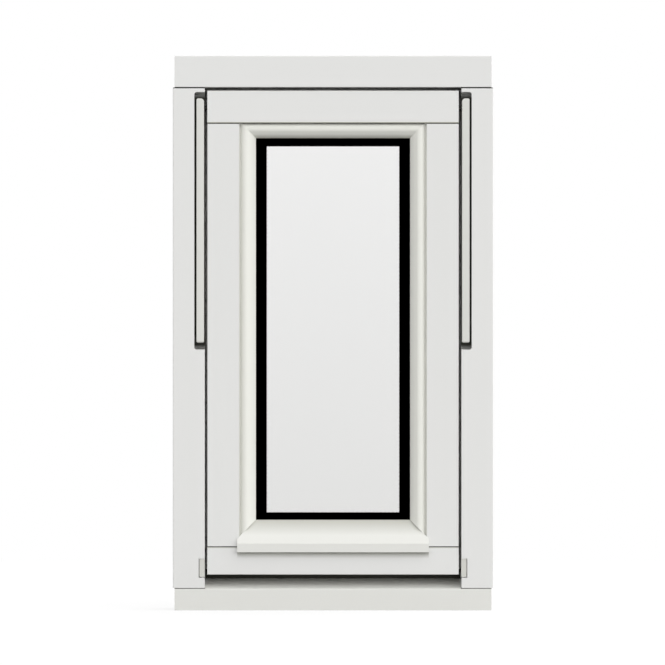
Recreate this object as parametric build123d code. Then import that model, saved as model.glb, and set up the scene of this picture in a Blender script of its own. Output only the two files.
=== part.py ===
from build123d import *
import os
from math import cos, radians, sin, tan

# A small top swing window of white painted timber, shut, in millimetres.
# +X is to the right of someone standing outside, +Y goes from outside into the room, +Z is up.
# The origin is the centre of the sill's underside, half way through the frame.

# Frame
OVERALL_WIDTH = 488.0  # over the jambs
OVERALL_HEIGHT = 845.0  # sill underside to head top
FRAME_DEPTH = 115.0  # outside face to room face
HEAD_FACE = 48.0  # height of the head above the sash
JAMB_FACE = 48.5  # width of a jamb beside the sash
END_SETBACK = 2.5  # head and sill end this far inside the jambs' outer faces
REBATE_DEPTH = 63.0  # outside face to the stop that the sash shuts against
STOP_REACH = 19.0  # how far the stop stands in from the rebate
ARRIS = 1.2  # rounding of the long exposed edges
HEAD_JOINT = 1.6  # sunk line where a jamb meets the head
SILL_JOINT = 1.1  # sunk line where a jamb meets the sill
JOINT_DEPTH = 12.0  # depth of the sunk lines at the joints
FIXING_HOLE = 8.0  # diameter of the holes for the frame screws
FIXING_BEHIND_STOP = 20.0  # frame screws stand this far outside the stop
FIXING_FROM_END = 150.0  # frame screws from the top and from the bottom of the frame

# Sill
SILL_NOSE = 33.0  # height of the sill's outside face
SILL_FALL = 12.0  # slope of the sill's top, in degrees
DRIP_INSET = 9.0  # drip grooves from the outside face
DRIP_WIDTH = 5.0
DRIP_DEPTH = 4.0

# Sash
TOP_GAP = 5.0  # joint between sash and head
SIDE_GAP = 4.0  # joint between sash and jamb
SILL_CLEARANCE = 8.0  # sash underside above the sill's slope, at the stop
SASH_SETBACK = 3.0  # sash face behind the frame's outside face
SILL_LAP = 14.0  # sill's stop above the sash's underside
SEAL_GAP = 3.0  # sash back to stop, filled by the weather seal
STILE_FACE = 48.5
TOP_RAIL_FACE = 49.5
BOTTOM_RAIL_FACE = 42.0
SASH_JOINT = 1.2  # sunk line where a stile meets a rail
ROOM_ROUND = 6.0  # rounding of the sash round the glass on the room side

# Glazing
PANE = 4.0
CAVITY = 16.0
GLASS_SETBACK = 18.0  # outer pane behind the sash face
GLASS_BITE = 14.0  # glass hidden behind the beads
GLASS_CLEARANCE = 5.0  # under the glass, for its setting blocks
GASKET = 3.0  # thickness of the strip between bead and outer pane
TAPE = 3.0  # thickness of the strip between inner pane and sash
STRIP_WIDTH = 10.0
STRIP_CORNER = 0.3  # gap where two strips meet
SIDE_BORDER = 16.4  # black edge of the sealed unit that shows inside the beads
TOP_BORDER = 12.0
BOTTOM_BORDER = 11.0
SEALANT_RECESS = 4.0  # spacer bars stop short of the glass edge

# Glazing beads
SIDE_BEAD = 25.4
TOP_BEAD = 22.7
BEAD_EDGE = 0.8  # square edge of a bead at the glass
BEAD_CREST = 15.0  # crest of the moulding from the glass line
BEAD_SETBACK = 2.5  # crest behind the sash face
BEAD_ROUND = 8.0  # radius of the crest on its glass side
BEAD_TURN = 34.0  # slope where the round crest runs into the long curve to the glass, in degrees
QUIRK_WIDTH = 2.0  # sunk line between a bead and the stile
QUIRK_DEPTH = 7.5

# Weather bar under the glass
BAR_RISE = 41.2  # glass line above the bottom rail
BAR_PROJECTION = 8.0  # nose in front of the sash face
BAR_NOSE = 13.2  # height of the nose
BAR_OVERHANG = 7.7  # nose below the top of the bottom rail
BAR_LAP = 3.0  # nose past the inner edges of the stiles
BAR_BEVEL = 6.5  # height of the cut corners where it laps the stiles
BAR_DRIP_WIDTH = 3.0
BAR_DRIP_DEPTH = 3.0

# Weather seal between stop and sash
SEAL_BASE = 8.0
SEAL_TIP = 5.0
SEAL_SKIRT = 1.5  # thickness of the sill seal's skirt, which covers the foot of the stop
SKIRT_CLEARANCE = 0.3  # skirt to the sill's slope and to the jambs

# Swing arms in the jambs
ARM_LENGTH = 372.0
ARM_WIDTH = 11.5
ARM_DEPTH = 24.0
ARM_FROM_HEAD = 17.0
ARM_INSET = 1.0  # arm behind the jamb's outside face
ARM_REVEAL = 1.1  # arm behind the jamb's inner face
ARM_CLEARANCE = 0.5  # arm to the floor of its slot
ARM_SIDE_GAP = 3.2  # arm to the side wall of its slot
ARM_SASH_ROUND = 5.0  # radius of the arm's top corner beside the sash
ARM_JAMB_ROUND = 2.5
ARM_CHAMFER = 1.5
ARM_EDGE = 0.8  # bevel round the arm's outside face
SLOT_TOP_GAP = 7.5  # floor of the slot above the arm
SLOT_TOP_RUNOUT = 10.0  # mouth of the slot above the arm
SLOT_FOOT_GAP = 8.5  # floor of the slot below the arm
SLOT_FOOT_RUNOUT = 11.0  # mouth of the slot below the arm
SLOT_ROUND = 2.0
SLOT_CORNER = 4.0  # rounding of the slot's mouth, as its cutter leaves it
PIN_DIAMETER = 7.0
PIN_CLEARANCE = 0.15
PIN_FROM_END = 14.0
PIN_BEHIND_ARM_FACE = 15.0
PIN_SEAT = 12.0  # depth of a pin in the timber
PIN_SHORT = 0.5  # pin end inside the arm's face

# Guide blocks low on the jambs
BLOCK_WIDTH = 8.0
BLOCK_HEIGHT = 28.0
BLOCK_DEPTH = 18.0
BLOCK_ABOVE_SASH = 24.5  # top of the block above the sash's underside
BLOCK_GAP = 1.0  # shadow gap beside and under the block
BLOCK_ROUND = 1.5

# Handle on the room side
ROSE_LENGTH = 64.0
ROSE_HEIGHT = 28.0
ROSE_DEPTH = 10.0
ROSE_BEVEL = 2.0
NECK_DIAMETER = 18.0
NECK_LENGTH = 22.0
LEVER_LENGTH = 112.0  # neck axis to the lever's tip
LEVER_ROOT = 22.0
LEVER_TIP = 15.0
LEVER_DEPTH = 12.0
LEVER_ROUND = 3.5

# Places that several pieces share
FRONT = -FRAME_DEPTH / 2
BACK = FRAME_DEPTH / 2
STOP = FRONT + REBATE_DEPTH
HALF_WIDTH = OVERALL_WIDTH / 2
HALF_MEMBER = HALF_WIDTH - END_SETBACK
JAMB_INNER = HALF_WIDTH - JAMB_FACE
JAMB_STOP = JAMB_INNER - STOP_REACH
HEAD_SOFFIT = OVERALL_HEIGHT - HEAD_FACE
HEAD_STOP = HEAD_SOFFIT - STOP_REACH
SIDE_LAP = STOP_REACH - SIDE_GAP
TOP_LAP = STOP_REACH - TOP_GAP
SLOPE_TOP = SILL_NOSE + REBATE_DEPTH * tan(radians(SILL_FALL))

SASH_FACE = FRONT + SASH_SETBACK
SASH_BACK = STOP - SEAL_GAP
SASH_HALF = JAMB_INNER - SIDE_GAP
SASH_TOP = HEAD_SOFFIT - TOP_GAP
SASH_BOTTOM = SLOPE_TOP + SILL_CLEARANCE
SILL_STOP = SASH_BOTTOM + SILL_LAP
STILE_INNER = SASH_HALF - STILE_FACE
RAIL_UNDER = SASH_TOP - TOP_RAIL_FACE
RAIL_SHELF = SASH_BOTTOM + BOTTOM_RAIL_FACE

GLASS_FRONT = SASH_FACE + GLASS_SETBACK
CAVITY_FRONT = GLASS_FRONT + PANE
CAVITY_BACK = CAVITY_FRONT + CAVITY
GLASS_BACK = CAVITY_BACK + PANE
LIP_FACE = GLASS_BACK + TAPE
BEAD_BACK = GLASS_FRONT - GASKET
SIGHT_HALF = STILE_INNER - SIDE_BEAD
SIGHT_TOP = RAIL_UNDER - TOP_BEAD
SIGHT_BOTTOM = RAIL_SHELF + BAR_RISE
PANE_HALF = SIGHT_HALF + GLASS_BITE
PANE_TOP = SIGHT_TOP + GLASS_BITE
PANE_BOTTOM = SIGHT_BOTTOM - GLASS_BITE
GLASS_SEAT = PANE_BOTTOM - GLASS_CLEARANCE
BEAD_FACE = GLASS_SETBACK - GASKET  # sash face in front of a bead's back
BAR_UNDER = RAIL_SHELF - BAR_OVERHANG
BAR_TOP = BAR_UNDER + BAR_NOSE
BAR_FRONT = SASH_FACE - BAR_PROJECTION

ARM_TOP = HEAD_SOFFIT - ARM_FROM_HEAD
ARM_BOTTOM = ARM_TOP - ARM_LENGTH
ARM_FACE = FRONT + ARM_INSET
ARM_NEAR = JAMB_INNER + ARM_REVEAL
ARM_FAR = ARM_NEAR + ARM_WIDTH
SLOT_FLOOR = ARM_FACE + ARM_DEPTH + ARM_CLEARANCE
SLOT_WALL = ARM_FAR + ARM_SIDE_GAP
PIN_Y = ARM_FACE + PIN_BEHIND_ARM_FACE
FRAME_PIN_Z = ARM_BOTTOM + PIN_FROM_END
SASH_PIN_Z = ARM_TOP - PIN_FROM_END
BLOCK_TOP = SASH_BOTTOM + BLOCK_ABOVE_SASH
BLOCK_BOTTOM = BLOCK_TOP - BLOCK_HEIGHT
HANDLE_Z = (SILL_STOP + SIGHT_BOTTOM) / 2
CUT_MARGIN = 5.0  # cutters reach this far past the faces they open


def outline(corners, rounded=True):
    """A flat face with the given corners, (u, v) or (u, v, radius), in order round it."""
    face = make_face(Polyline(*[corner[:2] for corner in corners], close=True))
    for corner in corners:
        if rounded and len(corner) == 3:
            vertex = face.vertices().sort_by_distance((corner[0], corner[1], 0))[0]
            face = fillet(vertex, corner[2])
    return face


def run_across(face, half_length):
    """A section drawn in Y and Z, run both ways along X."""
    return extrude(Plane.YZ * face, half_length, both=True)


def run_up(face, bottom, top):
    """A section drawn in X and Y, run up from one height to another."""
    return extrude(Pos(0, 0, bottom) * face, top - bottom)


def run_through(face, near, far):
    """An outline drawn in X and Z, run into the wall from one depth to another."""
    plane = Plane((0, near, 0), x_dir=(1, 0, 0), z_dir=(0, -1, 0))
    return extrude(plane * face, near - far)


def block(x_range, y_range, z_range):
    """A square-edged block between two values on each axis."""
    low = [min(pair) for pair in (x_range, y_range, z_range)]
    size = [abs(pair[1] - pair[0]) for pair in (x_range, y_range, z_range)]
    return Pos(*low) * Box(*size, align=(Align.MIN, Align.MIN, Align.MIN))


def rod_across(diameter, start, end, y, z):
    """A round rod or bore along X."""
    rod = Cylinder(diameter / 2, abs(end - start), rotation=(0, 90, 0))
    return Pos((start + end) / 2, y, z) * rod


def mirrored(shape):
    """The left hand piece of a pair."""
    return mirror(shape, about=Plane.YZ)


# Frame
HEAD_CORNERS = [
    (FRONT, HEAD_SOFFIT, ARRIS),
    (STOP, HEAD_SOFFIT),
    (STOP, HEAD_STOP, ARRIS),
    (BACK, HEAD_STOP, ARRIS),
    (BACK, OVERALL_HEIGHT, ARRIS),
    (FRONT, OVERALL_HEIGHT, ARRIS),
]
SILL_CORNERS = [
    (FRONT, 0),
    (FRONT, SILL_NOSE, ARRIS),
    (STOP, SLOPE_TOP),
    (STOP, SILL_STOP, ARRIS),
    (BACK, SILL_STOP, ARRIS),
    (BACK, 0),
]
JAMB_CORNERS = [
    (JAMB_INNER, FRONT, ARRIS),
    (HALF_WIDTH, FRONT, ARRIS),
    (HALF_WIDTH, BACK, ARRIS),
    (JAMB_STOP, BACK, ARRIS),
    (JAMB_STOP, STOP, ARRIS),
    (JAMB_INNER, STOP),
]


def frame_head():
    return run_across(outline(HEAD_CORNERS), HALF_MEMBER)


def frame_sill():
    sill = run_across(outline(SILL_CORNERS), HALF_MEMBER)
    drip_start = FRONT + DRIP_INSET
    drip = block((-HALF_WIDTH, HALF_WIDTH), (drip_start, drip_start + DRIP_WIDTH), (-CUT_MARGIN, DRIP_DEPTH))
    return sill - drip


def joint_line(face, bottom, top):
    """The sunk line that a joint shows on an outside face."""
    return block((-OVERALL_WIDTH, OVERALL_WIDTH), (face - CUT_MARGIN, face + JOINT_DEPTH), (bottom, top))


def arm_slot():
    """The housing for the swing arm: open to the outside and to the sash, sloping out at both ends."""
    low = ARM_BOTTOM - SLOT_FOOT_RUNOUT
    high = ARM_TOP + SLOT_TOP_RUNOUT
    front = FRONT - CUT_MARGIN
    depth_corners = [
        (front, low),
        (FRONT, low),
        (SLOT_FLOOR, ARM_BOTTOM - SLOT_FOOT_GAP, SLOT_ROUND),
        (SLOT_FLOOR, ARM_TOP + SLOT_TOP_GAP, SLOT_ROUND),
        (FRONT, high),
        (front, high),
    ]
    mouth_corners = [
        (JAMB_INNER - CUT_MARGIN, low),
        (SLOT_WALL, low, SLOT_CORNER),
        (SLOT_WALL, high, SLOT_CORNER),
        (JAMB_INNER - CUT_MARGIN, high),
    ]
    housing = run_across(outline(depth_corners), OVERALL_WIDTH)
    return housing & run_through(outline(mouth_corners), front, SLOT_FLOOR)


def block_notch():
    return block(
        (JAMB_INNER - CUT_MARGIN, JAMB_INNER + BLOCK_WIDTH + BLOCK_GAP),
        (FRONT - CUT_MARGIN, FRONT + BLOCK_DEPTH),
        (BLOCK_BOTTOM - BLOCK_GAP, BLOCK_TOP),
    )


def frame_jamb():
    """The right jamb, scribed over the head and the sill, with its slot, notch and screw holes."""
    jamb = run_up(outline(JAMB_CORNERS), 0, OVERALL_HEIGHT)
    jamb -= run_across(outline(HEAD_CORNERS, rounded=False), OVERALL_WIDTH)
    jamb -= run_across(outline(SILL_CORNERS, rounded=False), OVERALL_WIDTH)
    jamb -= joint_line(FRONT, HEAD_SOFFIT - HEAD_JOINT, HEAD_SOFFIT)
    jamb -= joint_line(FRONT, SILL_NOSE, SILL_NOSE + SILL_JOINT)
    jamb -= arm_slot()
    jamb -= block_notch()
    bore = PIN_DIAMETER + 2 * PIN_CLEARANCE
    jamb -= rod_across(bore, SLOT_WALL - CUT_MARGIN, SLOT_WALL + PIN_SEAT, PIN_Y, FRAME_PIN_Z)
    fixing_y = STOP - FIXING_BEHIND_STOP
    for z in (FIXING_FROM_END, OVERALL_HEIGHT - FIXING_FROM_END):
        jamb -= rod_across(FIXING_HOLE, JAMB_INNER - CUT_MARGIN, HALF_WIDTH + CUT_MARGIN, fixing_y, z)
    return jamb


# Sash
TOP_LIP_CORNERS = [
    (LIP_FACE, RAIL_UNDER),
    (LIP_FACE, SIGHT_TOP),
    (SASH_BACK, SIGHT_TOP, ROOM_ROUND),
    (SASH_BACK, RAIL_UNDER),
]
BOTTOM_LIP_CORNERS = [
    (GLASS_FRONT, RAIL_SHELF),
    (GLASS_FRONT, GLASS_SEAT),
    (LIP_FACE, GLASS_SEAT),
    (LIP_FACE, SIGHT_BOTTOM),
    (SASH_BACK, SIGHT_BOTTOM, ROOM_ROUND),
    (SASH_BACK, RAIL_SHELF),
]
TOP_RAIL_CORNERS = [
    (SASH_FACE, RAIL_UNDER),
    (SASH_BACK, RAIL_UNDER),
    (SASH_BACK, SASH_TOP, ARRIS),
    (SASH_FACE, SASH_TOP, ARRIS),
]
BOTTOM_RAIL_CORNERS = [
    (SASH_FACE, RAIL_SHELF),
    (SASH_BACK, RAIL_SHELF),
    (SASH_BACK, SASH_BOTTOM, ARRIS),
    (SASH_FACE, SASH_BOTTOM, ARRIS),
]
STILE_CORNERS = [
    (STILE_INNER, SASH_FACE),
    (SASH_HALF, SASH_FACE, ARRIS),
    (SASH_HALF, SASH_BACK, ARRIS),
    (SIGHT_HALF, SASH_BACK, ROOM_ROUND),
    (SIGHT_HALF, LIP_FACE),
    (STILE_INNER, LIP_FACE),
]


def sash_pin_bore():
    """Hole in the sash's right edge for the upper pin of the swing arm."""
    bore = PIN_DIAMETER + 2 * PIN_CLEARANCE
    return rod_across(bore, SASH_HALF + CUT_MARGIN, SASH_HALF - PIN_SEAT, PIN_Y, SASH_PIN_Z)


def sash_top_rail():
    rail = run_across(outline(TOP_RAIL_CORNERS), SASH_HALF)
    rail += run_across(outline(TOP_LIP_CORNERS), STILE_INNER)
    return rail - sash_pin_bore() - mirrored(sash_pin_bore())


def sash_bottom_rail():
    rail = run_across(outline(BOTTOM_RAIL_CORNERS), SASH_HALF)
    rail += run_across(outline(BOTTOM_LIP_CORNERS), STILE_INNER)
    drip_start = SASH_FACE + DRIP_INSET
    drip = block(
        (-SASH_HALF - CUT_MARGIN, SASH_HALF + CUT_MARGIN),
        (drip_start, drip_start + DRIP_WIDTH),
        (SASH_BOTTOM - CUT_MARGIN, SASH_BOTTOM + DRIP_DEPTH),
    )
    return rail - drip


def sash_stile():
    """The right stile, scribed over the rails' moulded lips."""
    stile = run_up(outline(STILE_CORNERS), RAIL_SHELF, RAIL_UNDER)
    stile -= run_across(outline(TOP_LIP_CORNERS), STILE_INNER)
    stile -= run_across(outline(BOTTOM_LIP_CORNERS), STILE_INNER)
    stile -= joint_line(SASH_FACE, RAIL_UNDER - SASH_JOINT, RAIL_UNDER)
    stile -= joint_line(SASH_FACE, RAIL_SHELF, RAIL_SHELF + SASH_JOINT)
    return stile - sash_pin_bore()


# Glazing beads and weather bar
def bead_section(width):
    """Moulding of a bead: u out from the glass line, v forward from the bead's back."""
    turn = radians(BEAD_TURN)
    crest = (BEAD_CREST, BEAD_FACE - BEAD_SETBACK)
    shoulder = (BEAD_CREST - BEAD_ROUND * sin(turn), crest[1] - BEAD_ROUND * (1 - cos(turn)))
    quirk = (SIDE_BEAD - QUIRK_WIDTH, BEAD_FACE - QUIRK_DEPTH)
    widest = max(SIDE_BEAD, TOP_BEAD)
    edges = [
        Line((0, 0), (0, BEAD_EDGE)),
        TangentArc(shoulder, (0, BEAD_EDGE), tangent=(-cos(turn), -sin(turn))),
        TangentArc(crest, shoulder, tangent=(-1, 0)),
        TangentArc(crest, quirk, tangent=(1, 0)),
        Line(quirk, (widest, quirk[1])),
        Line((widest, quirk[1]), (widest, 0)),
        Line((widest, 0), (0, 0)),
    ]
    strip = Rectangle(width, 2 * crest[1], align=(Align.MIN, Align.CENTER))
    return make_face(edges) & strip


BAR_CORNERS = [
    (BEAD_BACK, RAIL_SHELF),
    (BEAD_BACK, SIGHT_BOTTOM),
    (BAR_FRONT, BAR_TOP, ARRIS),
    (BAR_FRONT, BAR_UNDER),
    (SASH_FACE, BAR_UNDER),
    (SASH_FACE, RAIL_SHELF),
]


def mitre_wedge(sight_line, rise):
    """The space past the two mitre lines that leave the glass corners at 45 degrees, up or down."""
    reach = abs(rise)
    corners = [
        (-SIGHT_HALF, sight_line),
        (SIGHT_HALF, sight_line),
        (SIGHT_HALF + reach, sight_line + rise),
        (-SIGHT_HALF - reach, sight_line + rise),
    ]
    return run_through(outline(corners), FRONT - FRAME_DEPTH, BACK)


def top_wedge():
    return mitre_wedge(SIGHT_TOP, SIDE_BEAD + TOP_BEAD)


def bottom_wedge():
    return mitre_wedge(SIGHT_BOTTOM, -SIDE_BEAD - BAR_RISE)


def bead_top():
    """The top bead's section stands up from the glass line, its front towards the outside."""
    plane = Plane((0, BEAD_BACK, SIGHT_TOP), x_dir=(0, 0, 1), z_dir=(1, 0, 0))
    blank = extrude(plane * bead_section(TOP_BEAD), STILE_INNER, both=True)
    bead = blank & top_wedge()
    return bead - joint_line(SASH_FACE, RAIL_UNDER - SASH_JOINT, RAIL_UNDER)


def bead_side():
    """The right bead, mitred to the top bead and to the weather bar."""
    plane = Plane((SIGHT_HALF, BEAD_BACK, RAIL_SHELF), x_dir=(1, 0, 0), z_dir=(0, 0, -1))
    blank = extrude(plane * bead_section(SIDE_BEAD), RAIL_SHELF - RAIL_UNDER)
    return blank - top_wedge() - bottom_wedge()


def bar_corner():
    """The corner cut off the weather bar's right end, in front of the stile."""
    end = STILE_INNER + BAR_LAP
    fall = (SIGHT_BOTTOM - BAR_TOP) / (BEAD_BACK - BAR_FRONT)
    shoulder = BAR_TOP + fall * BAR_PROJECTION
    corners = [
        (STILE_INNER, shoulder),
        (end, shoulder - BAR_BEVEL),
        (end + CUT_MARGIN, shoulder - BAR_BEVEL),
        (end + CUT_MARGIN, shoulder),
    ]
    return run_through(outline(corners), BAR_FRONT - CUT_MARGIN, SASH_FACE)


def bead_bottom():
    """The weather bar: sits on the bottom rail, laps the stiles and drips clear of the sash."""
    bar = run_across(outline(BAR_CORNERS), STILE_INNER + BAR_LAP) & bottom_wedge()
    bar -= bar_corner()
    bar -= mirrored(bar_corner())
    for side in (-1, 1):
        bar -= block(
            (side * STILE_INNER, side * OVERALL_WIDTH),
            (SASH_FACE, BACK),
            (0, OVERALL_HEIGHT),
        )
    drip_middle = SASH_FACE - BAR_PROJECTION / 2
    drip = block(
        (-OVERALL_WIDTH, OVERALL_WIDTH),
        (drip_middle - BAR_DRIP_WIDTH / 2, drip_middle + BAR_DRIP_WIDTH / 2),
        (BAR_UNDER - CUT_MARGIN, BAR_UNDER + BAR_DRIP_DEPTH),
    )
    return bar - drip


# Sealed glass unit and its strips
def pane(front):
    return block((-PANE_HALF, PANE_HALF), (front, front + PANE), (PANE_BOTTOM, PANE_TOP))


def edge_strips(y_range, inner, outer, corner_gap):
    """Top, bottom, left and right strips between two rectangles (half width, bottom, top)."""
    half_in, bottom_in, top_in = inner
    half_out, bottom_out, top_out = outer
    upright = (bottom_in + corner_gap, top_in - corner_gap)
    return {
        "top": block((-half_out, half_out), y_range, (top_in, top_out)),
        "bottom": block((-half_out, half_out), y_range, (bottom_out, bottom_in)),
        "left": block((-half_out, -half_in), y_range, upright),
        "right": block((half_in, half_out), y_range, upright),
    }


def glazing_strips(y_range):
    """Four strips that follow the edge of the glass opening."""
    inner = (SIGHT_HALF, SIGHT_BOTTOM, SIGHT_TOP)
    outer = (SIGHT_HALF + STRIP_WIDTH, SIGHT_BOTTOM - STRIP_WIDTH, SIGHT_TOP + STRIP_WIDTH)
    return Compound(children=list(edge_strips(y_range, inner, outer, STRIP_CORNER).values()))


def spacer_bars():
    """The black spacer of the sealed unit, which shows as a border inside the beads."""
    inner = (SIGHT_HALF - SIDE_BORDER, SIGHT_BOTTOM + BOTTOM_BORDER, SIGHT_TOP - TOP_BORDER)
    outer = (PANE_HALF - SEALANT_RECESS, PANE_BOTTOM + SEALANT_RECESS, PANE_TOP - SEALANT_RECESS)
    return edge_strips((CAVITY_FRONT, CAVITY_BACK), inner, outer, 0)


# Weather seal on the stop
def seal_section(middle):
    """Seal with its wide base on the stop and its narrow tip on the sash: u in Y, v across."""
    return [
        (STOP, middle - SEAL_BASE / 2),
        (STOP, middle + SEAL_BASE / 2),
        (SASH_BACK, middle + SEAL_TIP / 2),
        (SASH_BACK, middle - SEAL_TIP / 2),
    ]


SEAL_HALF = SASH_HALF - SIDE_LAP / 2
SEAL_TOP = SASH_TOP - TOP_LAP / 2
SEAL_BOTTOM = SASH_BOTTOM + SILL_LAP / 2


def seal_head():
    return run_across(outline(seal_section(SEAL_TOP)), SEAL_HALF + SEAL_BASE / 2)


def seal_sill():
    """The sill's seal has a thin skirt down to the sill's slope."""
    base, top, tip_top, tip_bottom = seal_section(SEAL_BOTTOM)
    foot = SLOPE_TOP + SKIRT_CLEARANCE
    skirt = STOP - SEAL_SKIRT
    corners = [(STOP, foot), top, tip_top, tip_bottom, (skirt, base[1]), (skirt, foot)]
    return run_across(outline(corners), JAMB_INNER - SKIRT_CLEARANCE)


def seal_upright():
    corners = [(across, depth) for depth, across in seal_section(SEAL_HALF)]
    return run_up(outline(corners), SEAL_BOTTOM + SEAL_BASE / 2, SEAL_TOP - SEAL_BASE / 2)


# Swing arms, their pins and the guide blocks
def swing_arm():
    corners = [
        (ARM_NEAR, ARM_BOTTOM),
        (ARM_FAR, ARM_BOTTOM),
        (ARM_FAR, ARM_TOP, ARM_JAMB_ROUND),
        (ARM_NEAR, ARM_TOP, ARM_SASH_ROUND),
    ]
    arm = run_through(outline(corners), ARM_FACE, ARM_FACE + ARM_DEPTH)
    arm = chamfer(arm.faces().sort_by(Axis.Z)[0].edges(), ARM_CHAMFER)
    arm = chamfer(arm.faces().sort_by(Axis.Y)[0].edges(), ARM_EDGE)
    bore = PIN_DIAMETER + 2 * PIN_CLEARANCE
    for z in (FRAME_PIN_Z, SASH_PIN_Z):
        arm -= rod_across(bore, ARM_NEAR - CUT_MARGIN, ARM_FAR + CUT_MARGIN, PIN_Y, z)
    return arm


def arm_pins():
    """The lower pin turns in the jamb and the upper one carries the sash."""
    frame_pin = rod_across(PIN_DIAMETER, ARM_NEAR + PIN_SHORT, SLOT_WALL + PIN_SEAT, PIN_Y, FRAME_PIN_Z)
    sash_pin = rod_across(PIN_DIAMETER, SASH_HALF - PIN_SEAT, ARM_FAR - PIN_SHORT, PIN_Y, SASH_PIN_Z)
    return Compound(children=[frame_pin, sash_pin])


def guide_block():
    corners = [
        (JAMB_INNER, BLOCK_BOTTOM, BLOCK_ROUND),
        (JAMB_INNER + BLOCK_WIDTH, BLOCK_BOTTOM, BLOCK_ROUND),
        (JAMB_INNER + BLOCK_WIDTH, BLOCK_TOP),
        (JAMB_INNER, BLOCK_TOP),
    ]
    return run_through(outline(corners), FRONT + ARM_INSET, FRONT + BLOCK_DEPTH)


# Handle on the bottom rail, room side
def handle_rose():
    plate = SlotOverall(ROSE_LENGTH, ROSE_HEIGHT)
    rose = Pos(0, 0, HANDLE_Z) * run_through(plate, SASH_BACK, SASH_BACK + ROSE_DEPTH)
    return chamfer(rose.faces().sort_by(Axis.Y)[-1].edges(), ROSE_BEVEL)


def handle_neck():
    base = SASH_BACK + ROSE_DEPTH
    return Pos(0, 0, HANDLE_Z) * run_through(Circle(NECK_DIAMETER / 2), base, base + NECK_LENGTH)


def handle_lever():
    """A flat lever that narrows from the neck to its tip."""
    near = SASH_BACK + ROSE_DEPTH + NECK_LENGTH
    root = Circle(LEVER_ROOT / 2)
    tip = Pos(LEVER_LENGTH - LEVER_TIP / 2, 0) * Circle(LEVER_TIP / 2)
    lever = run_through(make_hull([*root.edges(), *tip.edges()]), near, near + LEVER_DEPTH)
    lever = Pos(0, 0, HANDLE_Z) * lever
    rims = lever.faces().sort_by(Axis.Y)
    return fillet([*rims[0].edges(), *rims[-1].edges()], LEVER_ROUND)


def pieces():
    """Every piece of the window by its name."""
    nodes = {
        "frame_head": frame_head(),
        "frame_sill": frame_sill(),
        "frame_jamb_right": frame_jamb(),
        "sash_top_rail": sash_top_rail(),
        "sash_bottom_rail": sash_bottom_rail(),
        "sash_stile_right": sash_stile(),
        "bead_top": bead_top(),
        "bead_right": bead_side(),
        "bead_bottom": bead_bottom(),
        "outer_pane": pane(GLASS_FRONT),
        "inner_pane": pane(CAVITY_BACK),
        "outer_gasket": glazing_strips((BEAD_BACK, GLASS_FRONT)),
        "inner_tape": glazing_strips((GLASS_BACK, LIP_FACE)),
        "seal_top": seal_head(),
        "seal_bottom": seal_sill(),
        "seal_right": seal_upright(),
        "swing_arm_right": swing_arm(),
        "arm_pins_right": arm_pins(),
        "guide_block_right": guide_block(),
        "handle_rose": handle_rose(),
        "handle_neck": handle_neck(),
        "handle_lever": handle_lever(),
    }
    for place, bar in spacer_bars().items():
        nodes["spacer_" + place] = bar
    for name in [name for name in nodes if name.endswith("_right") and name != "spacer_right"]:
        nodes[name.replace("_right", "_left")] = mirrored(nodes[name])
    return nodes


os.makedirs("parts", exist_ok=True)
for node, shape in pieces().items():
    export_step(shape, f"parts/{node}.step")
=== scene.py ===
"""Looks of a small top swing window: painted timber, sealed glass unit, seals, arms and handle."""

from math import radians

import bpy
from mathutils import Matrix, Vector


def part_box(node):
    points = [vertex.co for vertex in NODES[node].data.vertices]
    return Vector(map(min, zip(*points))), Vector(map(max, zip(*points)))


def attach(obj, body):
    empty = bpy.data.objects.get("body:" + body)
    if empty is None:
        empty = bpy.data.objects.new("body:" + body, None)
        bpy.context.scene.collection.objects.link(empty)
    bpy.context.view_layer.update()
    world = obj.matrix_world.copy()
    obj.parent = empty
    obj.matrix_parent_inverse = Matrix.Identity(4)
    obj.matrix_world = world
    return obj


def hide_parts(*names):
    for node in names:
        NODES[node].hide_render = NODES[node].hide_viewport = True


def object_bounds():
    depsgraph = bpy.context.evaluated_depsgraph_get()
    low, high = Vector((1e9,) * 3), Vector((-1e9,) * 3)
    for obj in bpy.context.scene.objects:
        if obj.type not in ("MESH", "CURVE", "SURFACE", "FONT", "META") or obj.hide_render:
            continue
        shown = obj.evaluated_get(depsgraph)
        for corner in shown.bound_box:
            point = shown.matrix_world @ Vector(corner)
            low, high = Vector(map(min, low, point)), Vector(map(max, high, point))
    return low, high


bl_info = {
    "name": "Top Swing Window",
    "version": (1, 0, 0),
    "blender": (4, 5, 0),
    "location": "View3D > Sidebar > Window",
    "description": "Finishes and small fittings of a painted timber top swing window",
    "category": "Object",
}

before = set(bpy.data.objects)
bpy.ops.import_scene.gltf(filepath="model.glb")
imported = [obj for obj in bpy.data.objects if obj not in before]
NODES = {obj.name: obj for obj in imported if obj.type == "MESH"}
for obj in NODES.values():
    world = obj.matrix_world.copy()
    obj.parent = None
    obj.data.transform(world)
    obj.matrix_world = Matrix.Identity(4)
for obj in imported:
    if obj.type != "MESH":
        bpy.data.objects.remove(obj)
CAD_BOX = [list(corner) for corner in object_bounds()]
BODY = "root"
MM = 0.001
WHITE = (1.0, 1.0, 1.0, 1.0)

# Nodes that share a finish
UPRIGHT_TIMBER = ("frame_jamb_left", "frame_jamb_right", "sash_stile_left", "sash_stile_right")
ACROSS_TIMBER = ("frame_head", "sash_top_rail", "sash_bottom_rail")
PANES = ("outer_pane", "inner_pane")
STRIPS = ("outer_gasket", "inner_tape")
SPACERS = ("spacer_top", "spacer_bottom", "spacer_left", "spacer_right")
SEALS = ("seal_top", "seal_bottom", "seal_left", "seal_right")
ARMS = ("swing_arm_left", "swing_arm_right")
PINS = ("arm_pins_left", "arm_pins_right")
BLOCKS = ("guide_block_left", "guide_block_right")
HANDLE = ("handle_rose", "handle_neck", "handle_lever")

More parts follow.
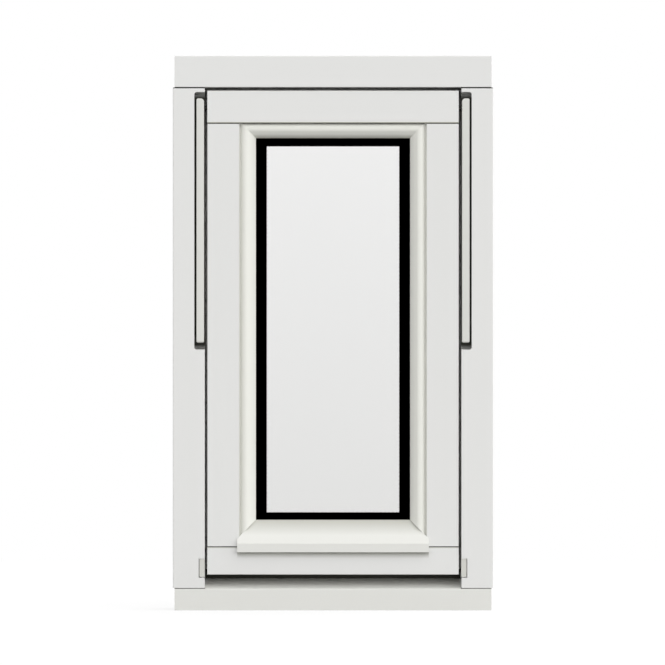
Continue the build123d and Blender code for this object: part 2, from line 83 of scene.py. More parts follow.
# Joints that show on the outside as dark lines, with painted shade inside them
OPEN_JOINTS = ("head_joint", "sill_joint", "sash_top_joint", "sash_bottom_joint")

# Limits of a painted shade
NO_LIMIT = (None, None)
SHARP = 0.1 * MM  # edge that doesn't fade

# Gloss of paint and glass
PAINT_IOR = 1.47
GLASS_IOR = 1.45

# Slow colour drift of plain and metal finishes, and the brush lines of metal
DULL_DRIFT = 40 * MM
DULL_SHADE = 0.04
DULL_SPREAD = 0.08  # how far the roughness strays to both sides
METAL_DRIFT = 25 * MM
METAL_SHADE = 0.06
METAL_SPREAD = 0.1
BRUSH_LENGTH = 12 * MM
BRUSH_WIDTH = 0.18 * MM
BRUSH_HEIGHT = 0.01 * MM

# Roundness of the grown pieces
CORNER_STEPS = 8
ARC_STEPS = 16
SCREW_SIDES = 32
SCREW_RIM = 0.8  # top of a screw head, as a share of its radius
CROSS_SPAN = 1.1  # length of the cross in a screw head, as a share of its radius

# Camera and soft edges of the light
SENSOR_WIDTH = 36.0
CLIP_END = 200.0
HORIZON = 0.05  # half of the soft band between ground and sky
FLAG_EDGE = 0.03  # soft edge of the dark flag


def length(name, description, millimetres):
    """A size property in metres, given in millimetres."""
    return bpy.props.FloatProperty(
        name=name, description=description, default=millimetres * MM, min=0.0, unit="LENGTH", precision=5
    )


def colour(name, description, value):
    """A colour property in linear red, green and blue."""
    return bpy.props.FloatVectorProperty(
        name=name, description=description, default=value, size=3, min=0.0, max=1.0, subtype="COLOR"
    )


def share(name, description, value):
    """A plain number property from 0 up."""
    return bpy.props.FloatProperty(name=name, description=description, default=value, min=0.0)


class PaintLook(bpy.types.PropertyGroup):
    """Paint on the frame, the sash and the beads, with painted light on the beads and painted shade in
    joints, housings and corners.
    """

    main: colour("Paint", "Satin white of frame and sash", (0.745, 0.745, 0.73))
    # Painted light: the beads get a brighter copy of the frame's white, which lifts their shaded slopes
    bead: colour("Bead paint", "Brighter, warmer white of the beads round the glass", (0.8, 0.8, 0.745))
    sill: colour("Sill paint", "Slightly warmer white of sill and weather bar", (0.73, 0.73, 0.695))
    roughness: share("Roughness", "Roughness of the satin paint", 0.42)
    roughness_spread: share("Roughness spread", "How far the roughness strays to both sides", 0.06)
    fibre_width: length("Fibre width", "Width of the grain lines that show through the paint", 1.1)
    fibre_length: length("Fibre length", "Length of the grain lines", 70.0)
    fibre_height: length("Fibre height", "Height of the grain under the paint", 0.05)
    speckle: length("Spray texture", "Size of the spray texture of the paint", 1.6)
    speckle_height: length("Spray height", "Height of the spray texture", 0.012)
    drift: share("Colour drift", "Darker share of the paint's slow colour drift", 0.018)
    drift_width: length("Drift width", "Width of the slow colour drift across the grain", 90.0)
    drift_length: length("Drift length", "Length of the slow colour drift along the grain", 400.0)
    # Painted shade: a near-black colour inside the open joints and the arms' housings, where shade falls
    gap_shade: colour("Sealer", "Dark sealer in the open joints and the arms' housings", (0.05, 0.05, 0.034))
    joint_reach: length("Paint in joints", "How far the paint reaches into an open joint", 0.4)
    joint_depth: length("Joint depth", "How far behind the outside face the sealer goes", 13.0)
    joint_height: length("Joint height", "Height of the sealed band at a joint", 2.2)
    housing_reach: length("Paint in housings", "How far the paint reaches into an arm's housing", 3.0)
    housing_side: length("Housing side", "Arm to the sealer's edge beside it", 3.5)
    housing_back: length("Housing back", "Arm's back to the sealer's edge behind it", 1.0)
    housing_top: length("Housing top", "Arm's top to where the sealer ends over it", 9.0)
    housing_foot: length("Housing foot", "Arm's foot to where the sealer ends under it", 11.4)
    housing_fade: length("Housing fade", "Length over which the sealer fades at a housing's ends", 8.0)
    # Painted shade: a dark colour blended into the paint where shade falls, beside the glass, at the beads'
    # outer edges, under the weather bar and along the rails' joints
    painted_shade: colour("Grime", "Dirt beside the glass, in corners and along joints", (0.3, 0.3, 0.24))
    bar_painted_shade: share("Bar grime", "Share of dirt on the weather bar beside the glass", 0.56)
    bar_shade_reach: length("Bar grime reach", "How far the dirt reaches down the weather bar", 23.0)
    nose_painted_shadow: share("Nose grime", "Share of dirt on the rail under the weather bar", 0.7)
    nose_shadow_reach: length("Nose grime reach", "How far that dirt reaches down the rail", 9.5)
    top_line_painted_shade: share("Top line grime", "Share of dirt on the top rail along its joint", 0.95)
    bottom_line_painted_shade: share("Bottom line grime", "Share of dirt on the bottom rail along its joint", 0.6)
    line_width: length("Line width", "Width of the dirt along a rail's joint", 1.6)
    bead_painted_shade: share("Bead grime", "Share of dirt on the top bead beside the glass", 0.65)
    bead_shade_reach: length("Bead grime reach", "How far the dirt reaches up the top bead", 6.0)
    quirk_painted_shade: share("Quirk grime", "Share of dirt at the outer edges of top and left bead", 0.17)
    quirk_shade_reach: length("Quirk grime reach", "How far the dirt reaches in from a bead's outer edge", 10.0)


class GlazingLook(bpy.types.PropertyGroup):
    """Glass unit, spacer, strips and weather seal."""

    # Painted shade: the glass colour darkens from top to bottom
    shaded_glass_top: colour("Glass, top", "Glass colour at the top of the pane", (0.945, 0.945, 0.943))
    shaded_glass_bottom: colour("Glass, bottom", "Glass colour at the bottom of the pane", (0.885, 0.885, 0.88))
    spacer: colour("Spacer", "Black of the spacer bars", (0.002, 0.002, 0.002))
    rubber: colour("Glazing rubber", "Black of gasket and tape", (0.006, 0.006, 0.006))
    seal: colour("Seal rubber", "Dark grey of the weather seal", (0.03, 0.03, 0.018))
    slit_length: length("Slit length", "Length of a drying slit in the spacer", 2.4)
    slit_width: length("Slit width", "Width of a drying slit", 0.4)
    slit_pitch: length("Slit pitch", "Distance between drying slits", 6.0)
    slit_rows: length("Slit rows", "Distance between the two rows of slits", 6.0)
    seal_width: length("Seal width", "Width of the weather seal on the stop", 8.0)
    seal_corner: length("Seal corner", "Bend of the seal at its corners", 6.0)
    skirt: length("Seal skirt", "Thickness of the skirt under the seal's bottom run", 1.5)


class FittingLook(bpy.types.PropertyGroup):
    """Arms, guide blocks and handle."""

    arm: colour("Arm", "Off-white coat of the swing arms", (0.68, 0.68, 0.645))
    block: colour("Guide block", "Light grey plastic of the guide blocks", (0.62, 0.62, 0.575))
    pin: colour("Pin steel", "Dark steel of the arms' pins", (0.05, 0.05, 0.046))
    screw: colour("Screw steel", "Bright steel of the screws in the rose", (0.55, 0.55, 0.56))
    handle: colour("Handle", "Satin metal of the handle", (0.6, 0.6, 0.61))
    screw_radius: length("Screw head", "Radius of the screws in the rose", 3.2)
    screw_height: length("Screw height", "How far a screw head stands proud", 0.9)
    screw_cross: length("Screw cross", "Width of the cross in a screw head", 1.0)
    screw_spacing: length("Screw spacing", "Distance between the two screws in the rose", 43.0)


class StageLook(bpy.types.PropertyGroup):
    """Camera, soft light and floor."""

    distance: length("Camera distance", "Camera to the outside face of the frame", 12000.0)
    picture: length("Picture width", "Width that the picture covers at the outside face", 1013.1)
    aim_left: length("Aim left", "Camera left of the window's middle", 0.76)
    aim_up: length("Aim up", "Camera above the window's middle", 0.87)
    level: share("Light level", "Even part of the soft light", 0.7)
    from_right: share("Light from the right", "Extra light from the right, taken from the left", 1.05)
    from_outside: share("Light from outside", "Extra light on the outside", 1.5)
    from_room: share("Light from the room", "Extra light on the room side", 0.8)
    ground: share("Ground", "Light from below the horizon", 0.38)
    flag: share("Dark flag", "Cosine of the edge of the dark flag that keeps the glass clear", 0.955)
    floor_size: length("Floor size", "Width of the floor", 5000.0)
    floor: share("Floor", "How much light the floor throws back", 0.3)
    floor_light: share("Floor light", "Light that the open floor gets from the sky", 1.0)
    floor_shadow: share("Floor shadow", "Share of the floor's white that a shadow can take away", 0.2)


# Node helpers
def wire(tree, kind, inputs=None, **settings):
    """A node of one kind with its settings made and its inputs linked or set."""
    node = tree.nodes.new(kind)
    for name, value in settings.items():
        setattr(node, name, value)
    for key, value in (inputs or {}).items():
        if isinstance(value, bpy.types.NodeSocket):
            tree.links.new(value, node.inputs[key])
        else:
            node.inputs[key].default_value = value
    return node


def calculate(tree, operation, first, second):
    """One sum on two values or sockets."""
    return wire(tree, "ShaderNodeMath", {0: first, 1: second}, operation=operation).outputs[0]


def ramp(tree, value, start, end, low=0.0, high=1.0):
    """One value at the start and before it, another at the end and after it, with an even change between."""
    inputs = {"Value": value, "From Min": start, "From Max": end, "To Min": low, "To Max": high}
    return wire(tree, "ShaderNodeMapRange", inputs).outputs[0]


def stray(tree, texture, middle, spread):
    """A value that strays to both sides of a middle with a texture."""
    return ramp(tree, texture, 0.0, 1.0, middle - spread, middle + spread)


def blend_colours(tree, factor, first, second):
    """A blend of two colours, each given as three values or as a socket."""
    sides = [side if isinstance(side, bpy.types.NodeSocket) else (*side, 1) for side in (first, second)]
    return wire(tree, "ShaderNodeMix", {0: factor, 6: sides[0], 7: sides[1]}, data_type="RGBA").outputs[2]


def darker(value, amount):
    return tuple(channel * (1 - amount) for channel in value)


def blank_material(name):
    """A new material, with its node tree and its surface shader."""
    material = bpy.data.materials.new(name)
    material.use_nodes = True
    tree = material.node_tree
    return material, tree, tree.nodes["Principled BSDF"]


def object_place(tree):
    return wire(tree, "ShaderNodeTexCoord").outputs["Object"]


def noise(tree, place, sizes, detail=3.0):
    """Noise with features of the given sizes along X, Y and Z, in metres."""
    scale = [1.0 / size for size in sizes]
    mapped = wire(tree, "ShaderNodeMapping", {"Vector": place, "Scale": scale}).outputs[0]
    inputs = {"Vector": mapped, "Scale": 1.0, "Detail": detail}
    return wire(tree, "ShaderNodeTexNoise", inputs).outputs["Fac"]


def bump(tree, height, distance, under=None):
    inputs = {"Height": height, "Distance": distance}
    if under is not None:
        inputs["Normal"] = under
    return wire(tree, "ShaderNodeBump", inputs).outputs[0]


def mirrored_place(tree, place):
    """X, Y and Z of a place, with X counted from the middle to both sides."""
    apart = wire(tree, "ShaderNodeSeparateXYZ", {0: place}).outputs
    across = wire(tree, "ShaderNodeMath", {0: apart["X"]}, operation="ABSOLUTE").outputs[0]
    return across, apart["Y"], apart["Z"]


def inside(tree, apart, limits, fades):
    """1 between the limits along X, Y and Z and 0 outside them, with an even change over the fades."""
    hit = 1.0
    for value, (low, high), fade in zip(apart, limits, fades):
        if low is not None:
            hit = calculate(tree, "MULTIPLY", hit, ramp(tree, value, low, low + fade))
        if high is not None:
            hit = calculate(tree, "MULTIPLY", hit, ramp(tree, value, high, high - fade))
    return hit


# Finishes
def painted_shades(look):
    """Painted shade by place: limits along X, counted from the middle, Y and Z, fades, colour, share."""
    jamb_low, jamb_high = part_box("frame_jamb_right")
    stile_low, stile_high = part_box("sash_stile_right")
    arm_low, arm_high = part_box("swing_arm_right")
    bar_low, bar_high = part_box("bead_bottom")
    bead_low, bead_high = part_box("bead_top")
    bead_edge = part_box("bead_right")[1].x
    housing_edge = arm_low.x - look.housing_side / 2
    jamb_run = (housing_edge, jamb_high.x)
    offset = look.joint_height / 4

    def patch(shade_tone, amount, x=NO_LIMIT, y=NO_LIMIT, z=NO_LIMIT, fade_x=SHARP, fade_z=SHARP):
        return (x, y, z), (fade_x, SHARP, fade_z), shade_tone, amount

    # Painted shade inside an open joint
    def joint(front, x, middle):
        half = look.joint_height / 2
        y = (front + look.joint_reach, front + look.joint_depth)
        return patch(look.gap_shade, 1.0, x, y, (middle - half, middle + half))

    # Painted shade that fades over its reach
    def shade(amount, reach, z):
        return patch(look.painted_shade, amount, z=z, fade_z=reach)

    # Painted shade on the outside face of a rail
    def rail_shade(amount, x, z, fade=SHARP):
        outside = (None, stile_low.y + look.joint_depth)
        return patch(look.painted_shade, amount, x, outside, z, fade_z=fade)

    return {
        "head_joint": joint(jamb_low.y, jamb_run, jamb_high.z - offset),
        "sill_joint": joint(jamb_low.y, jamb_run, jamb_low.z - offset),
        "sash_top_joint": joint(stile_low.y, (None, stile_high.x), stile_high.z - offset),
        "sash_bottom_joint": joint(stile_low.y, (bead_edge, stile_high.x), stile_low.z + offset),
        # Painted shade in an arm's housing, fading at its ends
        "housing": patch(
            look.gap_shade,
            1.0,
            x=(housing_edge, arm_high.x + look.housing_side),
            y=(jamb_low.y + look.housing_reach, arm_high.y + look.housing_back),
            z=(arm_low.z - look.housing_foot, arm_high.z + look.housing_top),
            fade_z=look.housing_fade,
        ),
        # Painted shade on the weather bar, darkest beside the glass
        "bar": shade(look.bar_painted_shade, look.bar_shade_reach, (bar_high.z - look.bar_shade_reach, None)),
        # Painted shade on the top bead beside the glass
        "glass_line": shade(look.bead_painted_shade, look.bead_shade_reach, (None, bead_low.z + look.bead_shade_reach)),
        # Painted shade at the outer edges of the top and left beads, in the crease beside the sash
        "top_quirk": shade(look.quirk_painted_shade, look.quirk_shade_reach, (bead_high.z - look.quirk_shade_reach, None)),
        "side_quirk": patch(
            look.painted_shade, look.quirk_painted_shade, x=(bead_edge - look.quirk_shade_reach, None), fade_x=look.quirk_shade_reach
        ),
        # Painted shadow on the bottom rail under the weather bar's nose
        "under_nose": rail_shade(
            look.nose_painted_shadow, (None, bar_high.x), (bar_low.z - look.nose_shadow_reach, bar_high.z), look.nose_shadow_reach
        ),
        # Painted shade on the rails along their joints with the stiles
        "top_line": rail_shade(
            look.top_line_painted_shade, (None, stile_high.x), (stile_high.z, stile_high.z + look.line_width)
        ),
        "bottom_line": rail_shade(
            look.bottom_line_painted_shade, (bead_edge, stile_high.x), (stile_low.z - look.line_width, stile_low.z)
        ),
    }


def painted_timber(name, paint, grain_axis, look, shaded_places):
    """Satin paint on planed timber: grain and spray texture show faintly, and the white drifts a little.
    Painted shade is blended in at the given places.
    """
    material, tree, shader = blank_material(name)
    place = object_place(tree)
    along = "XYZ".index(grain_axis)
    fibre_sizes = [look.fibre_width] * 3
    fibre_sizes[along] = look.fibre_length
    drift_sizes = [look.drift_width] * 3
    drift_sizes[along] = look.drift_length
    fibres = noise(tree, place, fibre_sizes)
    speckle = noise(tree, place, [look.speckle] * 3, detail=1.0)
    drift = noise(tree, place, drift_sizes)
    coat = blend_colours(tree, drift, paint, darker(paint, look.drift))
    apart = mirrored_place(tree, place)
    all_shades = painted_shades(look)
    # Painted shade: a darker colour blended in at each given place
    for spot in shaded_places:
        limits, fades, shade_tone, amount = all_shades[spot]
        cover = calculate(tree, "MULTIPLY", inside(tree, apart, limits, fades), amount)
        coat = blend_colours(tree, cover, coat, shade_tone)
    tree.links.new(coat, shader.inputs["Base Color"])
    tree.links.new(stray(tree, speckle, look.roughness, look.roughness_spread), shader.inputs["Roughness"])
    grain = bump(tree, fibres, look.fibre_height)
    tree.links.new(bump(tree, speckle, look.speckle_height, grain), shader.inputs["Normal"])
    shader.inputs["IOR"].default_value = PAINT_IOR
    return material


def clear_glass(look):
    """Clear float glass with painted shade: its colour darkens a little towards the bottom."""
    material, tree, shader = blank_material("clear_glass")
    low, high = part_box("outer_pane")
    height = wire(tree, "ShaderNodeSeparateXYZ", {0: object_place(tree)}).outputs["Z"]
    # Painted shade, darker towards the bottom of the pane
    rise = ramp(tree, height, low.z, high.z)
    tree.links.new(blend_colours(tree, rise, look.shaded_glass_bottom, look.shaded_glass_top), shader.inputs["Base Color"])
    shader.inputs["Transmission Weight"].default_value = 1.0
    shader.inputs["Roughness"].default_value = 0.0
    shader.inputs["IOR"].default_value = GLASS_IOR
    return material


def dull_finish(name, base, roughness, size, height, gloss=0.5):
    """Rubber, plastic or a coat: even colour, broken by a fine texture of the given size and height."""
    material, tree, shader = blank_material(name)
    place = object_place(tree)
    texture = noise(tree, place, [size] * 3, detail=2.0)
    drift = noise(tree, place, [DULL_DRIFT] * 3)
    tree.links.new(blend_colours(tree, drift, base, darker(base, DULL_SHADE)), shader.inputs["Base Color"])
    tree.links.new(stray(tree, texture, roughness, DULL_SPREAD), shader.inputs["Roughness"])
    tree.links.new(bump(tree, texture, height), shader.inputs["Normal"])
    shader.inputs["Specular IOR Level"].default_value = gloss
    return material


def brushed_metal(name, base, roughness):
    """Metal brushed along X."""
    material, tree, shader = blank_material(name)
    place = object_place(tree)
    lines = noise(tree, place, [BRUSH_LENGTH, BRUSH_WIDTH, BRUSH_WIDTH])
    drift = noise(tree, place, [METAL_DRIFT] * 3)
    tree.links.new(blend_colours(tree, drift, base, darker(base, METAL_SHADE)), shader.inputs["Base Color"])
    tree.links.new(stray(tree, lines, roughness, METAL_SPREAD), shader.inputs["Roughness"])
    tree.links.new(bump(tree, lines, BRUSH_HEIGHT), shader.inputs["Normal"])
    shader.inputs["Metallic"].default_value = 1.0
    return material


def dress(nodes, material):
    """Gives CAD nodes a finish."""
    for name in nodes:
        mesh = NODES[name].data
        mesh.materials.clear()
        mesh.materials.append(material)


# Pieces grown by node trees
def new_tree(name, lengths, places):
    """A geometry tree with named inputs for its lengths and places, and the sockets that give them."""
    tree = bpy.data.node_groups.new(name, "GeometryNodeTree")
    tree.interface.new_socket(name="Geometry", in_out="OUTPUT", socket_type="NodeSocketGeometry")
    for kind, names in (("NodeSocketFloat", lengths), ("NodeSocketVector", places)):
        for size in names:
            tree.interface.new_socket(name=size, in_out="INPUT", socket_type=kind)
    return tree, tree.nodes.new("NodeGroupInput").outputs


def vector(tree, x=0.0, y=0.0, z=0.0):
    return wire(tree, "ShaderNodeCombineXYZ", {0: x, 1: y, 2: z}).outputs[0]


def moved(tree, geometry, **changes):
    """Geometry with a translation, rotation or scale."""
    inputs = {name.title(): change for name, change in changes.items()}
    return wire(tree, "GeometryNodeTransform", {"Geometry": geometry, **inputs}).outputs[0]


def joined(tree, parts):
    join = wire(tree, "GeometryNodeJoinGeometry")
    for part in parts:
        tree.links.new(part, join.inputs[0])
    return join.outputs[0]


def rectangle(tree, sizes):
    """The outline of a rectangle with the tree's width and height."""
    inputs = {"Width": sizes["Width"], "Height": sizes["Height"]}
    return wire(tree, "GeometryNodeCurvePrimitiveQuadrilateral", inputs).outputs[0]


def end_tree(tree, geometry, material):
    """Realizes what a tree made, gives it its finish and hands it out."""
    real = wire(tree, "GeometryNodeRealizeInstances", {0: geometry}).outputs[0]
    finished = wire(tree, "GeometryNodeSetMaterial", {"Geometry": real, "Material": material}).outputs[0]
    wire(tree, "NodeGroupOutput", {0: finished})
    return tree


def grow(name, tree, values):
    """Runs a tree with the given input values and keeps the result as a plain mesh on the window."""
    piece = bpy.data.objects.new(name, bpy.data.meshes.new(name + "_start"))
    bpy.context.scene.collection.objects.link(piece)
    modifier = piece.modifiers.new(tree.name, "NODES")
    modifier.node_group = tree
    for item in tree.interface.items_tree:
        if item.name in values:
            modifier[item.identifier] = values[item.name]
    graph = bpy.context.evaluated_depsgraph_get()
    mesh = bpy.data.meshes.new_from_object(piece.evaluated_get(graph))
    piece.modifiers.remove(modifier)
    start, piece.data = piece.data, mesh
    bpy.data.meshes.remove(start)
    mesh.name = name
    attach(piece, BODY)
    return piece


def seal_tree(material):
    """A seal with a D-shaped section that runs round a rectangle, with a flat skirt under its bottom run."""
    lengths = ("Width", "Height", "Corner", "Base", "Rise")
    tree, sizes = new_tree("weather_seal", lengths, ("Place", "Skirt Size", "Skirt Place"))
    rounding = {"Curve": rectangle(tree, sizes), "Radius": sizes["Corner"], "Count": CORNER_STEPS}
    path = wire(tree, "GeometryNodeFilletCurve", rounding, mode="POLY").outputs[0]
    path = wire(tree, "GeometryNodeSetCurveNormal", {"Curve": path}, mode="Z_UP").outputs[0]
    half_turn = {"Resolution": ARC_STEPS, "Radius": 1.0, "Start Angle": 0.0, "Sweep Angle": radians(180)}
    arc = wire(tree, "GeometryNodeCurveArc", half_turn).outputs[0]
    section = wire(tree, "GeometryNodeSetSplineCyclic", {"Geometry": arc, "Cyclic": True}).outputs[0]
    half_base = calculate(tree, "DIVIDE", sizes["Base"], 2.0)
    section = moved(tree, section, scale=vector(tree, half_base, sizes["Rise"], 1.0))
    seal = wire(tree, "GeometryNodeCurveToMesh", {"Curve": path, "Profile Curve": section}).outputs[0]
    seal = moved(tree, seal, translation=sizes["Place"], rotation=(radians(90), 0, 0))
    skirt = wire(tree, "GeometryNodeMeshCube", {"Size": sizes["Skirt Size"]}).outputs[0]
    skirt = moved(tree, skirt, translation=sizes["Skirt Place"])
    return end_tree(tree, joined(tree, (skirt, seal)), material)


def slit_tree(material):
    """Two rows of drying slits round the inner faces of the spacer bars."""
    lengths = ("Width", "Height", "Pitch", "Length", "Slit", "Rows")
    tree, sizes = new_tree("spacer_slits", lengths, ("Place",))
    spacing = {"Curve": rectangle(tree, sizes), "Length": sizes["Pitch"]}
    points = wire(tree, "GeometryNodeCurveToPoints", spacing, mode="LENGTH").outputs
    slit_size = vector(tree, sizes["Slit"], sizes["Slit"], sizes["Length"])
    slit = wire(tree, "GeometryNodeMeshCube", {"Size": slit_size}).outputs[0]
    copies = {"Points": points["Points"], "Instance": slit, "Rotation": points["Rotation"]}
    row = wire(tree, "GeometryNodeInstanceOnPoints", copies).outputs[0]
    half_rows = calculate(tree, "DIVIDE", sizes["Rows"], 2.0)
    offsets = (half_rows, calculate(tree, "MULTIPLY", half_rows, -1.0))
    rows = [moved(tree, row, translation=vector(tree, z=offset)) for offset in offsets]
    slits = moved(tree, joined(tree, rows), translation=sizes["Place"], rotation=(radians(90), 0, 0))
    return end_tree(tree, slits, material)


def screw_tree(material):
    """Two screw heads in line along X, each with a cross, facing the room."""
    tree, sizes = new_tree("rose_screws", ("Radius", "Rise", "Cross", "Spacing"), ("Place",))
    start = vector(tree, calculate(tree, "DIVIDE", sizes["Spacing"], -2.0))
    pair = {"Count": 2, "Start Location": start, "Offset": vector(tree, sizes["Spacing"])}
    line = wire(tree, "GeometryNodeMeshLine", pair).outputs[0]
    taper = {
        "Vertices": SCREW_SIDES,
        "Radius Top": calculate(tree, "MULTIPLY", sizes["Radius"], SCREW_RIM),
        "Radius Bottom": sizes["Radius"],
        "Depth": sizes["Rise"],
    }
    head = wire(tree, "GeometryNodeMeshCone", taper).outputs[0]
    span = calculate(tree, "MULTIPLY", sizes["Radius"], CROSS_SPAN)
    for bar in ((span, sizes["Cross"]), (sizes["Cross"], span)):
        cutter = wire(tree, "GeometryNodeMeshCube", {"Size": vector(tree, *bar, sizes["Rise"])}).outputs[0]
        cutter = moved(tree, cutter, translation=vector(tree, z=sizes["Rise"]))
        cut = wire(tree, "GeometryNodeMeshBoolean", {0: head}, operation="DIFFERENCE", solver="EXACT")
        tree.links.new(cutter, cut.inputs[1])
        head = cut.outputs[0]
    screws = wire(tree, "GeometryNodeInstanceOnPoints", {"Points": line, "Instance": head}).outputs[0]
    screws = moved(tree, screws, translation=sizes["Place"], rotation=(radians(-90), 0, 0))
    return end_tree(tree, screws, material)


# Operators
class PaintTimber(bpy.types.Operator):
    """Paints the frame, the sash, the beads and the weather bar, with painted shade in joints, housings,
    corners and under the weather bar
    """

    bl_idname = "swing_window.paint_timber"
    bl_label = "Paint Timber"

    def execute(self, context):
        look = context.scene.window_paint
        # Places that get painted shade
        rail_shades = ("under_nose", "top_line", "bottom_line", *OPEN_JOINTS)
        top_bead_shades = ("glass_line", "top_quirk")
        for nodes, name, paint, grain_axis, shaded_places in (
            (UPRIGHT_TIMBER, "paint_upright", look.main, "Z", (*OPEN_JOINTS, "housing")),
            (ACROSS_TIMBER, "paint_across", look.main, "X", rail_shades),
            # The beads' brighter white is painted light; only the left bead gets painted shade at its outer
            # edge
            (("bead_left",), "paint_bead_left", look.bead, "Z", ("side_quirk",)),
            (("bead_right",), "paint_bead_right", look.bead, "Z", ()),
            (("bead_top",), "paint_bead_top", look.bead, "X", top_bead_shades),
            (("frame_sill",), "paint_sill", look.sill, "X", ("sill_joint",)),
            # The weather bar gets painted shade beside the glass
            (("bead_bottom",), "paint_bar", look.sill, "X", ("bar",)),
        ):
            dress(nodes, painted_timber(name, paint, grain_axis, look, shaded_places))
        return {"FINISHED"}


class GlazeSash(bpy.types.Operator):
    """Finishes the glass unit and its strips and makes the drying slits of the spacer"""

    bl_idname = "swing_window.glaze_sash"
    bl_label = "Glaze Sash"

    def execute(self, context):
        look = context.scene.window_glazing
        dress(PANES, clear_glass(look))
        rubber = dull_finish("glazing_rubber", look.rubber, roughness=0.6, size=0.6 * MM, height=0.02 * MM)
        dress(STRIPS, rubber)
        spacer = dull_finish(
            "spacer_black", look.spacer, roughness=0.7, size=0.8 * MM, height=0.01 * MM, gloss=0.05
        )
        dress(SPACERS, spacer)
        left_low, left_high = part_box("spacer_left")
        top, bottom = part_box("spacer_top")[0].z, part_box("spacer_bottom")[1].z
        values = {
            "Width": -2 * left_high.x,
            "Height": top - bottom,
            "Pitch": look.slit_pitch,
            "Length": look.slit_length,
            "Slit": look.slit_width,
            "Rows": look.slit_rows,
            "Place": Vector((0, (left_low.y + left_high.y) / 2, (top + bottom) / 2)),
        }
        grow("spacer_slits", slit_tree(spacer), values)
        return {"FINISHED"}


class SealStop(bpy.types.Operator):
    """Lays the weather seal round the frame's stop"""

    bl_idname = "swing_window.seal_stop"
    bl_label = "Seal Stop"

    def execute(self, context):
        look = context.scene.window_glazing
        rubber = dull_finish("seal_rubber", look.seal, roughness=0.65, size=0.5 * MM, height=0.02 * MM)
        dress(SEALS, rubber)
        top_low, top_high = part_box("seal_top")
        bottom_low, bottom_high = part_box("seal_bottom")
        right_low, right_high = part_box("seal_right")
        top = (top_low.z + top_high.z) / 2
        bottom = bottom_high.z - look.seal_width / 2
        skirt = Vector((bottom_high.x - bottom_low.x, look.skirt, bottom - bottom_low.z))
        values = {
            "Width": right_low.x + right_high.x,
            "Height": top - bottom,
            "Corner": look.seal_corner,
            "Base": look.seal_width,
            "Rise": top_high.y - top_low.y,
            "Place": Vector((0, top_high.y, (top + bottom) / 2)),
            "Skirt Size": skirt,
            "Skirt Place": Vector((0, top_high.y - skirt.y / 2, bottom - skirt.z / 2)),
        }
        seal = grow("weather_seal", seal_tree(rubber), values)
        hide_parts(*SEALS)
        return {"FINISHED"}


class FitArms(bpy.types.Operator):
    """Finishes the swing arms, their pins and the guide blocks"""

    bl_idname = "swing_window.fit_arms"
    bl_label = "Fit Arms"

    def execute(self, context):
        look = context.scene.window_fittings
        dress(ARMS, dull_finish("arm_coat", look.arm, roughness=0.45, size=0.9 * MM, height=0.012 * MM))
        plastic = dull_finish("guide_plastic", look.block, roughness=0.5, size=0.7 * MM, height=0.015 * MM)
        dress(BLOCKS, plastic)
        dress(PINS, brushed_metal("pin_steel", look.pin, roughness=0.4))
        return {"FINISHED"}


class FitHandle(bpy.types.Operator):
    """Finishes the handle and puts the two screws in its rose"""

    bl_idname = "swing_window.fit_handle"
    bl_label = "Fit Handle"

    def execute(self, context):
        look = context.scene.window_fittings
        dress(HANDLE, brushed_metal("handle_metal", look.handle, roughness=0.34))
        low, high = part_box("handle_rose")
        values = {
            "Radius": look.screw_radius,
            "Rise": look.screw_height,
            "Cross": look.screw_cross,
            "Spacing": look.screw_spacing,
            "Place": Vector((0, high.y, (low.z + high.z) / 2)),
        }
        steel = brushed_metal("screw_steel", look.screw, roughness=0.3)
        grow("rose_screws", screw_tree(steel), values)
        return {"FINISHED"}


class SetStage(bpy.types.Operator):
    """Sets the camera, the soft light and the pale floor"""

    bl_idname = "swing_window.set_stage"
    bl_label = "Set Stage"

    def execute(self, context):
        look = context.scene.window_stage
        context.scene.view_settings.view_transform = "Standard"
        place_camera(context.scene, look)
        light_world(context.scene, look)
        lay_floor(context.scene, look)
        return {"FINISHED"}


# Stage
def place_camera(scene, look):
    """A camera square to the outside face."""
    low, high = (Vector(corner) for corner in CAD_BOX)
    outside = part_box("frame_head")[0].y
    camera = bpy.data.objects.new("camera", bpy.data.cameras.new("camera"))
    camera.data.sensor_width = SENSOR_WIDTH
    camera.data.lens = SENSOR_WIDTH * look.distance / look.picture
    camera.data.clip_end = CLIP_END
    middle = (low + high) / 2
    camera.location = (middle.x - look.aim_left, outside - look.distance, middle.z + look.aim_up)
    camera.rotation_euler = (radians(90), 0, 0)
    scene.collection.objects.link(camera)
    scene.camera = camera


def ray_kinds(tree):
    """Two switches: 1 for rays from the camera or through glass, and 1 for mirrored rays."""
    path = wire(tree, "ShaderNodeLightPath").outputs
    plain = calculate(tree, "MAXIMUM", path["Is Camera Ray"], path["Is Transmission Ray"])
    return plain, path["Is Glossy Ray"]


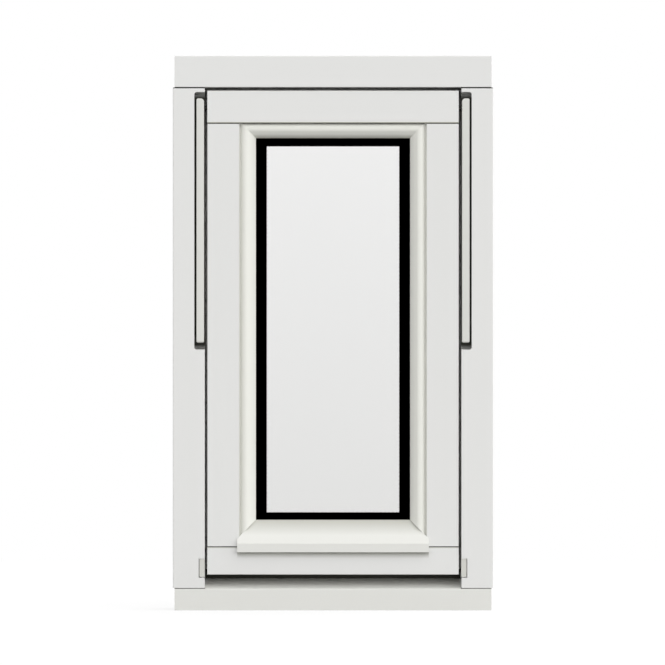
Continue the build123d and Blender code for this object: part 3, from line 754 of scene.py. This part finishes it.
def light_world(scene, look):
    """Soft sky, stronger from the right and outside, over a dim ground. The background looks white."""
    world = bpy.data.worlds.new("soft_studio")
    world.use_nodes = True
    scene.world = world
    tree = world.node_tree
    tree.nodes.clear()
    direction = wire(tree, "ShaderNodeTexCoord").outputs["Generated"]
    apart = wire(tree, "ShaderNodeSeparateXYZ", {0: direction}).outputs
    sky = look.level
    for side, start, end, low, high in (
        (apart["X"], -1.0, 1.0, -look.from_right, look.from_right),
        (apart["Y"], -1.0, 0.0, look.from_outside, 0.0),
        (apart["Y"], 0.0, 1.0, 0.0, look.from_room),
    ):
        sky = calculate(tree, "ADD", sky, ramp(tree, side, start, end, low, high))
    sky = calculate(tree, "MAXIMUM", sky, 0.0)
    strength = ramp(tree, apart["Z"], -HORIZON, HORIZON, look.ground, sky)
    clear = ramp(tree, apart["Y"], -look.flag - FLAG_EDGE, -look.flag)
    soft, mirrored, white = (
        wire(tree, "ShaderNodeBackground", {"Color": WHITE, "Strength": light}).outputs[0]
        for light in (strength, clear, 1.0)
    )
    plain, glossy = ray_kinds(tree)
    lit = wire(tree, "ShaderNodeMixShader", {0: glossy, 1: soft, 2: mirrored}).outputs[0]
    shown = wire(tree, "ShaderNodeMixShader", {0: plain, 1: lit, 2: white}).outputs[0]
    wire(tree, "ShaderNodeOutputWorld", {"Surface": shown})


def lay_floor(scene, look):
    """A pale floor that looks white and keeps a soft shadow."""
    half = look.floor_size / 2
    corners = [(-half, -half, 0), (half, -half, 0), (half, half, 0), (-half, half, 0)]
    mesh = bpy.data.meshes.new("floor")
    mesh.from_pydata(corners, [], [(0, 1, 2, 3)])
    floor = bpy.data.objects.new("floor", mesh)
    scene.collection.objects.link(floor)
    material = bpy.data.materials.new("pale_floor")
    material.use_nodes = True
    tree = material.node_tree
    tree.nodes.clear()
    seen = calculate(tree, "MAXIMUM", *ray_kinds(tree))
    reflectance = ramp(tree, seen, 0.0, 1.0, look.floor, look.floor_shadow)
    matt = wire(tree, "ShaderNodeBsdfDiffuse", {"Color": reflectance}).outputs[0]
    glow = calculate(tree, "MULTIPLY", seen, 1.0 - look.floor_shadow * look.floor_light)
    shine = wire(tree, "ShaderNodeEmission", {"Color": WHITE, "Strength": glow}).outputs[0]
    both = wire(tree, "ShaderNodeAddShader", {0: matt, 1: shine}).outputs[0]
    wire(tree, "ShaderNodeOutputMaterial", {"Surface": both})
    mesh.materials.append(material)


class WindowPanel(bpy.types.Panel):
    """Lists the window's looks and the steps that make them"""

    bl_idname = "VIEW3D_PT_swing_window"
    bl_label = "Top Swing Window"
    bl_space_type = "VIEW_3D"
    bl_region_type = "UI"
    bl_category = "Window"

    def draw(self, context):
        for group in LOOKS:
            look = getattr(context.scene, group)
            for name in look.bl_rna.properties.keys():
                if name not in ("rna_type", "name"):
                    self.layout.prop(look, name)
        for step in STEPS:
            self.layout.operator(step.bl_idname)


LOOKS = {
    "window_paint": PaintLook,
    "window_glazing": GlazingLook,
    "window_fittings": FittingLook,
    "window_stage": StageLook,
}
STEPS = (PaintTimber, GlazeSash, SealStop, FitArms, FitHandle, SetStage)
CLASSES = (*LOOKS.values(), *STEPS, WindowPanel)


def register():
    for cls in CLASSES:
        bpy.utils.register_class(cls)
    for name, group in LOOKS.items():
        setattr(bpy.types.Scene, name, bpy.props.PointerProperty(type=group))


def unregister():
    for name in LOOKS:
        delattr(bpy.types.Scene, name)
    for cls in reversed(CLASSES):
        bpy.utils.unregister_class(cls)


def main():
    register()
    for step in STEPS:
        family, action = step.bl_idname.split(".")
        getattr(getattr(bpy.ops, family), action)()
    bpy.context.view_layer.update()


if __name__ == "__main__":
    main()
